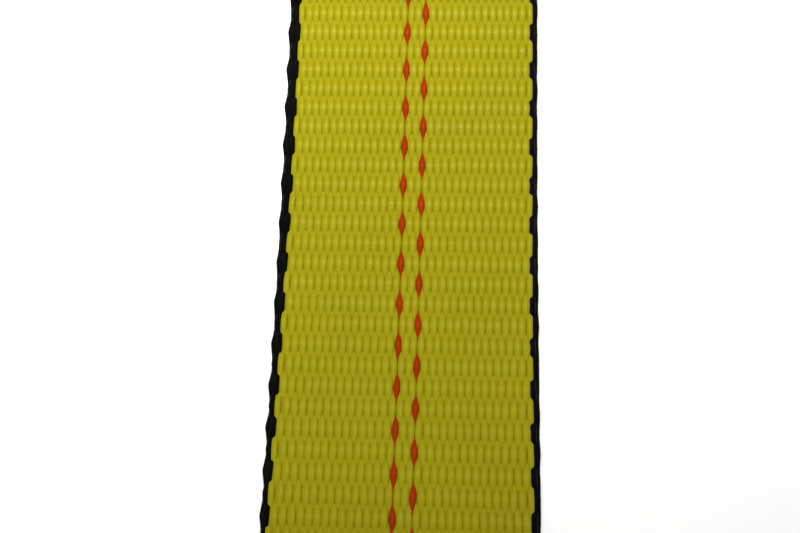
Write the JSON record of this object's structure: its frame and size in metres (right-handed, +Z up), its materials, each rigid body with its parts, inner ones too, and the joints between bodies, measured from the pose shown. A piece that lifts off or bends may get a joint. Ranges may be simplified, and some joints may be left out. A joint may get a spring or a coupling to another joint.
{
  "type": "ratchet tie down",
  "caption": "Ratchet tie-down for cargo: 50 mm black-edged yellow webbing, a ratchet buckle with a folding handle, a short fixed strap and a rolled long strap, each with a flat hook.",
  "frame": {"origin": "middle of the whole assembly in plan, on the ground plane", "axes": "+Z up, X across the webbing and along the spool, +Y from the long strap's hook to the short strap's hook"},
  "size_m": [0.0868, 0.7532, 0.124],
  "materials": {
    "webbing_yellow": "woven polyester, plain brick weave with a soft sheen",
    "webbing_black": "woven polyester selvedge",
    "webbing_red": "woven polyester tracer yarn",
    "thread": "bonded sewing thread",
    "zinc_steel": "zinc plated, lightly worn edges",
    "bolt_steel": "zinc plated",
    "pawl_steel": "zinc plated, rubbed at the tip",
    "spool_steel": "turned steel",
    "wheel_steel": "hardened steel",
    "spring_steel": "drawn wire",
    "hook_steel": "zinc plated, forged edges",
    "grip_rubber": "moulded, matt",
    "pull_plastic": "moulded, fine grain"
  },
  "bodies": {
    "frame": {"base_frame": "zinc_steel", "anchor_bolt": "bolt_steel", "anchor_nut": "bolt_steel", "anchor_sleeve": "bolt_steel", "locking_spring_left": "spring_steel", "locking_spring_right": "spring_steel", "strap_roll": "webbing_yellow", "long_strap": "webbing_yellow", "tail_strap": "webbing_yellow"},
    "spool": {"spool_bar_upper": "spool_steel", "spool_bar_lower": "spool_steel", "ratchet_wheel_left": "wheel_steel", "ratchet_wheel_right": "wheel_steel", "retaining_washer_left": "bolt_steel", "retaining_washer_right": "bolt_steel", "retaining_pin_left": "spring_steel", "retaining_pin_right": "spring_steel", "spool_winding": "webbing_yellow"},
    "handle": {"handle_frame": "zinc_steel", "handle_crossbar": "bolt_steel", "handle_grip": "grip_rubber", "drive_spring": "spring_steel"},
    "drive_pawl": {"drive_pawl": "pawl_steel", "release_pull": "pull_plastic"},
    "locking_pawl": {"locking_pawl": "pawl_steel"},
    "short_strap": {"short_strap": "webbing_yellow"},
    "hook_short": {"hook_short_end": "hook_steel"},
    "hook_long": {"hook_long_end": "hook_steel"}
  },
  "joints": [
    {"name": "spool_spin", "type": "hinge", "parent": "frame", "child": "spool", "pos_m": [0, 0.09865, 0.036], "axis": [1, 0, 0], "continuous": true},
    {"name": "handle_swing", "type": "hinge", "parent": "frame", "child": "handle", "pos_m": [0, 0.09865, 0.036], "axis": [1, 0, 0], "range_deg": [0, 165]},
    {"name": "drive_pawl_slide", "type": "slide", "parent": "handle", "child": "drive_pawl", "axis": [0, 0.9903, 0.1392], "range_m": [-0.0055, 0.003], "stiffness_N_per_m": 600, "deforming": ["drive_spring"]},
    {"name": "locking_pawl_slide", "type": "slide", "parent": "frame", "child": "locking_pawl", "axis": [0, 0.9272, -0.3746], "range_m": [0, 0.006], "stiffness_N_per_m": 800, "springref_m": -0.002, "deforming": ["locking_spring_left", "locking_spring_right"]},
    {"name": "short_strap_swing", "type": "hinge", "parent": "frame", "child": "short_strap", "pos_m": [0, 0.18665, 0.016], "axis": [1, 0, 0], "range_deg": [-60, 30]},
    {"name": "short_hook_swing", "type": "hinge", "parent": "short_strap", "child": "hook_short", "pos_m": [0, 0.31665, 0.0087], "axis": [1, 0, 0], "range_deg": [-45, 90]},
    {"name": "long_hook_swing", "type": "hinge", "parent": "frame", "child": "hook_long", "pos_m": [0, -0.31665, 0.0087], "axis": [-1, 0, 0], "range_deg": [-45, 90]}
  ]
}
